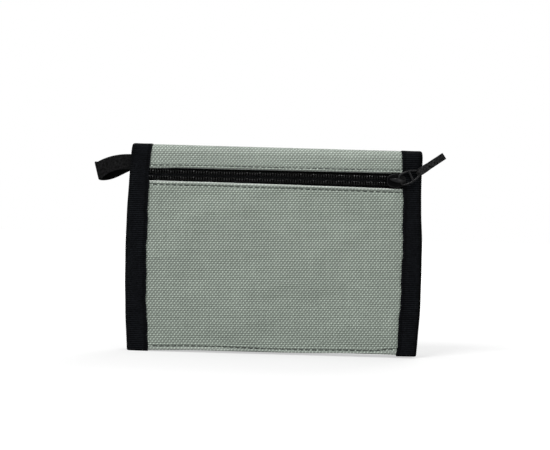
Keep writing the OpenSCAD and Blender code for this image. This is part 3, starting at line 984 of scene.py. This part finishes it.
def build_pull():
    """Wire frame that hangs on the bridge: broad round end, a crossbar, then narrowing to its end bar."""
    pin, end = joint_place("pull_swing"), joint_place("cord_swing")
    along = unit(end - pin)
    across = np.array([-along[2], 0, along[0]])
    length = np.linalg.norm(end - pin)
    c, q = circle(120)
    share = (blunt(c, np.where(c < 0, 0.5, 0.45)) + 1) / 2
    width = ring_half(share) * blunt(q, 0.55)
    path = pin + grid(length * share) * along + grid(width) * across
    ring = tube("pull_ring", path, 0.46 * MM, 10, closed=True)
    bar_at = 0.6
    reach = ring_half(bar_at) * 0.98 * np.linspace(-1, 1, 5)
    bar = tube("pull_crossbar", pin + along * length * bar_at + grid(reach) * across, 0.56 * MM, 10)
    pull = join("pull_wire_frame", [ring, bar])
    # The pull frame takes the lighter copy of the black paint, painted highlight.
    finish_piece(pull, BLACK_PAINT_LIT, body="pull_frame", stands_for=["pull_frame"])


def build_cord():
    """Flat tape folded round the pull frame's end bar, its two layers sewn together."""
    end, angle = joint_place("cord_swing"), math.radians(35)
    along = np.array([math.cos(angle), 0, math.sin(angle)])
    across = np.array([-along[2], 0, along[0]])
    length, half_w, tape_t, turn_r = 13 * MM, 1.5 * MM, 0.55 * MM, 0.62 * MM
    v = np.linspace(-1, 1, 13)
    a = np.linspace(-math.pi / 2, math.pi / 2, 14)[1:-1]
    run = np.linspace(0, 1, 60)
    gap = turn_r - (turn_r - 0.3 * MM) * smooth(run * 5)
    u = np.concatenate([length * run[::-1], -turn_r * np.cos(a), length * run])
    y = np.concatenate([-gap[::-1], turn_r * np.sin(a), gap])
    narrow = 0.72 + 0.36 * smooth((u + 0.3 * MM) / (1.4 * MM)) - 0.08 * smooth((u - 3.2 * MM) / (2 * MM))
    wide = (narrow * half_w)[:, None] * v
    points = end + u[:, None, None] * along + wide[:, :, None] * across + y[:, None, None] * OUTWARD[1]
    n = grid_normals(points)
    n = n * -np.sign(n[0, 0, 1])
    s = run_length(points[:, 6])
    rib = 0.03 * MM * np.cos(2 * math.pi * s / (0.5 * MM))
    half_t = tape_t / 2 * (0.5 + 0.5 * rolled_edge((1 - np.abs(v)) * half_w, 0.25 * MM))
    cord, _ = sheet("pull_tape", points + n * rib[:, None, None], n, half_t, grid(v * half_w, s[:, None]))
    finish_piece(cord, CORD, body="pull_cord", stands_for=["pull_cord"])
    line = end + np.linspace(-1.49, 1.49, 9)[:, None] * MM * across + (0.3 * MM + tape_t / 2) * OUTWARD[-1]
    rows = [stitches("row", line + along * at * MM, OUTWARD[-1], 0.75 * MM, 0.6 * MM, 0.13 * MM, 0.08 * MM)
            for at in (1.5, 2.1, 2.7, 3.3)]
    finish_piece(join("pull_tape_stitch", rows), THREAD_SOFT, body="pull_cord")


# ---------------------------------------------------------------- side loop


def build_side_loop():
    """Tape folded into a flat loop: both legs leave the left binding, droop and meet in a round bend."""
    root = joint_place("loop_swing")
    columns = 17
    v = np.linspace(0, 1, columns)
    run = np.linspace(0, 1, 50)
    bend = np.linspace(0, math.pi, 24)[1:-1]
    bend_r, root_gap = 1.3 * MM, 0.34 * MM
    # Heights above the root of the upper and lower edges of the front leg, then of the back leg
    front_top = 3.85 * MM - 3.6 * MM * run ** 2.3
    front_low = -2.7 * MM - 4.2 * MM * run ** 3.2
    back_top = front_top - 0.5 * MM * np.sin(math.pi * run)
    back_low = -3.1 * MM - 4.5 * MM * np.sin(math.pi / 2 * run) ** 1.2
    turn = (1 - np.cos(bend)) / 2
    top, low = (np.concatenate([front, between(front[-1], back[-1], turn), back[::-1]])
                for front, back in ((front_top, back_top), (front_low, back_low)))
    share = np.concatenate([run, np.ones_like(bend), run[::-1]])
    past = np.concatenate([0 * run, bend_r * np.sin(bend), 0 * run])
    gap = between(root_gap, bend_r, smooth(run * 1.1))
    out_y = np.concatenate([-gap, -bend_r * np.cos(bend), gap[::-1]])
    x = 2.6 * MM - share[:, None] * between(12.3 * MM, 14.25 * MM, v) - past[:, None]
    y = out_y[:, None] + 0.35 * MM * (v - 0.5) * np.sin(math.pi * share)[:, None]
    points = root + grid(x, y, between(low[:, None], top[:, None], v))
    n = grid_normals(points)
    n = n * -np.sign(n[5, 5, 1])
    s = run_length(points[:, columns // 2])
    width = 6.8 * MM
    rib = 0.02 * MM * np.cos(2 * math.pi * s / LOOP_RIB)
    half_t = 0.26 * MM * (0.45 + 0.55 * rolled_edge((0.5 - np.abs(v - 0.5)) * width, 0.3 * MM))
    shaded_inside = np.array([0.0, 1.0])[:, None, None]
    loop, _ = sheet("side_loop_tape", points + n * rib[:, None, None], n, half_t,
                    grid(v * width, s[:, None]), shaded_inside)
    fold = dict(a="zip_half", b="side_loop", start=root + [1.6 * MM, 0, 0], end=root - [1.0 * MM, 0, 0])
    finish_piece(loop, LOOP_TAPE, fold=fold, stands_for=["side_loop"])


# ---------------------------------------------------------------- inside


def pinch(x, full):
    """Depth of an inside cloth: full in the middle, drawn towards the canvas under the bindings."""
    centre, reach = (TAPE_X[-1] + TAPE_X[1]) / 2, (TAPE_X[1] - TAPE_X[-1]) / 2
    return full * (1 - 0.3 * smooth((np.abs(x - centre) - reach + 3 * MM) / (11 * MM)))


def pocket_cloth(name, half, node, material, window=None):
    """Front of an inside pocket: hemmed mouth with a row of stitches, sides and foot under the seams."""
    low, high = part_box(node)
    depth = abs((low.y if half > 0 else high.y) - FACE_Y[half])
    thick = 0.35 * MM
    t = crowded(90, 0.6)[:, None]
    z = between(HEM_Z, high.z, t) + np.zeros(120)
    x = cloth_columns(z, 120, 1.6 * MM)
    z = above_hem(x, z)
    to_mouth = high.z - z
    droop = 0.25 * MM * np.sin(math.pi * np.clip((x - TAPE_X[-1]) / (TAPE_X[1] - TAPE_X[-1]), 0, 1))
    z = z - droop * smooth(t * 2 - 1)
    hem = 0.16 * MM * smooth((4.2 * MM - to_mouth) / (0.5 * MM))
    wave = 0.1 * MM * np.sin(x / MM * 0.17 + depth / MM) * np.sin(z / MM * 0.12)
    at = pinch(x, depth) + hem - seam_groove(to_mouth, MOUTH_STITCH, 0.12 * MM) + wave
    half_t = (thick + hem) / 2
    middle = grid(x, FACE_Y[half] - half * (at - half_t), z)
    half_t = half_t * rolled_edge(to_mouth, 0.35 * MM)
    cloth, outer = sheet(name, middle, OUTWARD[-half], half_t, grid(x, z))
    if window is not None:
        cut_window(cloth, window)
    finish_piece(cloth, material, body=HALF_BODY[half], stands_for=[node])
    shown = (x[-20] > TAPE_X[-1] + 0.5 * MM) & (x[-20] < TAPE_X[1] - 0.5 * MM)
    path = seam_path(outer, z, high.z - MOUTH_STITCH)[shown]
    thread = stitches(name + "_stitch", path, OUTWARD[-half], 2.4 * MM, 1.9 * MM, 0.13 * MM, 0.08 * MM)
    finish_piece(thread, THREAD if material is PANEL else THREAD_BLACK, body=HALF_BODY[half])


def stitched_frame(name, x, z, y, half, slot):
    """Stitches round a rectangle on the inside face of one half, given its ends in x and in z."""
    r = 1.5 * MM
    a = np.radians([np.linspace(start, start + 90, 6) for start in (0, 90, 180, 270)])
    corner_x = np.array([x[1] - r, x[0] + r, x[0] + r, x[1] - r])[:, None]
    corner_z = np.array([z[1] - r, z[1] - r, z[0] + r, z[0] + r])[:, None]
    path = grid(corner_x + r * np.cos(a), y, corner_z + r * np.sin(a)).reshape(-1, 3)
    thread = stitches(name, np.concatenate([path, path[:1]]), OUTWARD[-half], 2.3 * MM, 1.9 * MM, 0.14 * MM)
    finish_piece(thread, THREAD_SOFT, body=HALF_BODY[half])


def cut_window(cloth, window):
    """Removes the cloth inside a rectangle, given its ends in x and in z, and closes the cut edge."""
    (x0, x1), (z0, z1) = window
    work = bmesh.new()
    work.from_mesh(cloth.data)
    for at, across in (((x0, 0, 0), (1, 0, 0)), ((x1, 0, 0), (1, 0, 0)),
                       ((0, 0, z0), (0, 0, 1)), ((0, 0, z1), (0, 0, 1))):
        bmesh.ops.bisect_plane(work, geom=work.verts[:] + work.edges[:] + work.faces[:],
                               plane_co=at, plane_no=across, dist=1e-8)
    gone = []
    for f in work.faces:
        c = f.calc_center_median()
        if x0 < c.x < x1 and z0 < c.z < z1:
            gone.append(f)
    bmesh.ops.delete(work, geom=gone, context="FACES")
    bmesh.ops.bridge_loops(work, edges=[e for e in work.edges if e.is_boundary])
    bmesh.ops.recalc_face_normals(work, faces=work.faces)
    work.to_mesh(cloth.data)
    work.free()
    cloth.data.set_sharp_from_angle(angle=math.radians(50))


def build_lining(half, name, nodes):
    """Thin lining from the middle of the spine over the fold and down the inside of a half."""
    at_fold, full = 1.15 * MM, (2.9 if half < 0 else 1.25) * MM
    place, out, s = fold_path(half, HEM_Z + 0.2 * MM, 0.8 * MM)
    x = cloth_columns(place[:, 2], 90)
    z = above_hem(x, place[:, 2:])
    depth = pinch(x, between(at_fold, full, smooth((40 * MM - z) / (6 * MM))))
    n, thick = out[:, None, :], 0.3 * MM
    middle = grid(x, place[:, 1:2], z) - n * (depth + thick / 2)[:, :, None]
    cloth, _ = sheet(name, middle, n, thick / 2, grid(x, -half * s[:, None]))
    finish_piece(cloth, LINING, fold=FOLDS[half], stands_for=nodes)


def build_strip(name, node, half, material, slot, bumps):
    """Touch fastener strip: a woven base with a raised field of pile."""
    low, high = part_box(node)
    x = np.linspace(low.x, high.x, 200)
    z = between(low.z, high.z, np.linspace(0, 1, 34)[:, None])
    edge = np.minimum(np.minimum(z - low.z, high.z - z), np.minimum(x - low.x, high.x - x))
    base_y = high.y if half > 0 else low.y
    thick = high.y - low.y
    nap = np.random.default_rng(7).uniform(0, bumps, edge.shape)
    field = smooth((edge - 1.2 * MM) / (0.5 * MM))
    rise = thick * (0.4 + 0.55 * field) - nap * field
    outer = grid(x, base_y - half * rise * rolled_edge(edge + 0.12 * MM, 0.3 * MM), z)
    strip = shell(name, outer, grid(x, base_y, z), grid(x, z), sharp=80)
    finish_piece(strip, material, body=HALF_BODY[half], stands_for=[node])
    inset = 0.75 * MM
    stitched_frame(name + "_stitch", (low.x + inset, high.x - inset), (low.z + inset, high.z - inset),
                   base_y - half * thick * 0.4, half, slot)


def build_film():
    """Clear film behind the window, slightly rippled."""
    low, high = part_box("id_window")
    x, z = np.linspace(low.x, high.x, 60), np.linspace(low.z, high.z, 40)[:, None]
    y = (low.y + high.y) / 2 + 0.03 * MM * np.sin(x / MM * 0.3) * np.sin(z / MM * 0.25)
    clear, _ = sheet("window_film", grid(x, y, z), OUTWARD[-1], 0.07 * MM, grid(x, z))
    finish_piece(clear, FILM, body="cover_half", stands_for=["id_window"])


# ---------------------------------------------------------------- studio


def area_light(name, place, size, power):
    """Round soft light that looks at the wallet."""
    light = bpy.data.lights.new(name, "AREA")
    light.shape = "DISK"
    light.size = size
    light.energy = power
    lamp = new_object(name, light)
    lamp.location = place
    lamp.rotation_euler = (-Vector(place)).to_track_quat("-Z", "Y").to_euler()


def build_studio():
    """White floor and sky, broad soft lights and a long-lens camera square to the zip side."""
    scene = bpy.context.scene
    scene.view_settings.view_transform = "Standard"
    scene.world = bpy.data.worlds.new("soft_room")
    scene.world.use_nodes = True
    sky = Nodes(scene.world.node_tree)
    backdrop = sky.tree.nodes["Background"]
    backdrop.inputs["Color"].default_value = (1, 1, 1, 1)
    upward = sky.split(sky.node("ShaderNodeTexCoord").outputs["Generated"])[2]
    seen = sky.node("ShaderNodeLightPath").outputs["Is Camera Ray"]
    glow = sky.math("MULTIPLY_ADD", upward, 0.3, 0.22)
    sky.feed(backdrop.inputs["Strength"], sky.math("MAXIMUM", glow, seen))

    paint = Paint("white_floor", 0.9, gloss=0.0)
    paint.set("Base Color", (0.3, 0.3, 0.3, 1))
    paint.set("Emission Color", (1, 1, 1, 1))
    seen = paint.node("ShaderNodeLightPath").outputs["Is Camera Ray"]
    away = paint.node("ShaderNodeVectorMath", operation="LENGTH")
    paint.feed(away.inputs[0], paint.node("ShaderNodeNewGeometry").outputs["Position"])
    glow = paint.math("MINIMUM", paint.math("MULTIPLY_ADD", away.outputs["Value"], 0.5, 0.42), 1.0)
    paint.set("Emission Strength", paint.math("MULTIPLY_ADD", seen, glow, 0.1))
    span = np.linspace(-6, 6, 9)
    top = grid(span, span[:, None], OPEN_Z - 0.45 * MM)
    floor = shell("studio_floor", top, top - [0, 0, 5 * MM], top[:, :, :2])
    floor.data.materials.append(paint.material)

    area_light("key_above", (-0.35, -0.65, 0.75), 0.4, 9.3)
    area_light("fill_front", (0.5, -0.9, 0.25), 0.6, 3.8)
    area_light("fill_back", (0.3, 0.9, 0.7), 0.7, 9.0)
    area_light("fill_left", (-1.0, 0.1, 0.4), 0.6, 3.0)
    area_light("fill_right", (1.0, 0.1, 0.3), 0.6, 2.0)

    camera = bpy.data.cameras.new("camera")
    camera.lens = 100
    camera.sensor_width = 36
    eye = new_object("camera", camera)
    view_width = 232.7 * MM
    distance = view_width / camera.sensor_width * camera.lens
    aim = Vector((0.25 * MM, FRONT_Y, 10.85 * MM))
    roll = math.radians(1.6)
    right = Vector((math.cos(roll), 0, math.sin(roll)))
    up = Vector((-math.sin(roll), 0, math.cos(roll)))
    back = right.cross(up)
    turned = Matrix((right, up, back)).transposed().to_4x4()
    eye.matrix_world = Matrix.Translation(aim + back * distance) @ turned
    scene.camera = eye


def build_wallet():
    """Every piece of the wallet."""
    build_zip_panel()
    build_top_strip()
    build_rear_canvas()
    for side in (-1, 1):
        for half in (-1, 1):
            build_binding(side, half)
    build_coil("upper_coil_row", 1, "upper_coil")
    build_coil("lower_coil_row", -1, "lower_coil")
    build_zip_tape("upper_tape", "upper_zip_tape")
    build_zip_tape("lower_tape", "lower_zip_tape")
    build_slider()
    build_pull()
    build_cord()
    build_side_loop()
    build_lining(1, "cover_lining_cloth", ["cover_lining"])
    build_lining(-1, "pocket_lining_cloth", ["pocket_lining", "spine_lining"])
    pocket_cloth("note_pocket_cloth", 1, "note_pocket_panel", LINING)
    pocket_cloth("cover_card_cloth", 1, "cover_card_panel", PANEL)
    low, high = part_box("id_window")
    border, window_h = 4 * MM, 38 * MM
    window = (low.x + border, high.x - border), (high.z - border - window_h, high.z - border)
    pocket_cloth("window_frame_cloth", 1, "window_frame", LINING, window)
    build_film()
    seam = 1.6 * MM
    around = [(ends[0] - seam, ends[1] + seam) for ends in window]
    stitched_frame("window_stitch", *around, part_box("window_frame")[0].y, 1, "lining")
    pocket_cloth("rear_card_cloth", -1, "rear_card_panel", PANEL)
    pocket_cloth("front_card_cloth", -1, "front_card_panel", PANEL)
    build_strip("loop_strip_pile", "loop_strip", 1, LOOP_PILE, "loop_pile", 0.25 * MM)
    build_strip("hook_strip_pile", "hook_strip", -1, HOOK_PILE, "hook_pile", 0.12 * MM)


build_wallet()
build_studio()
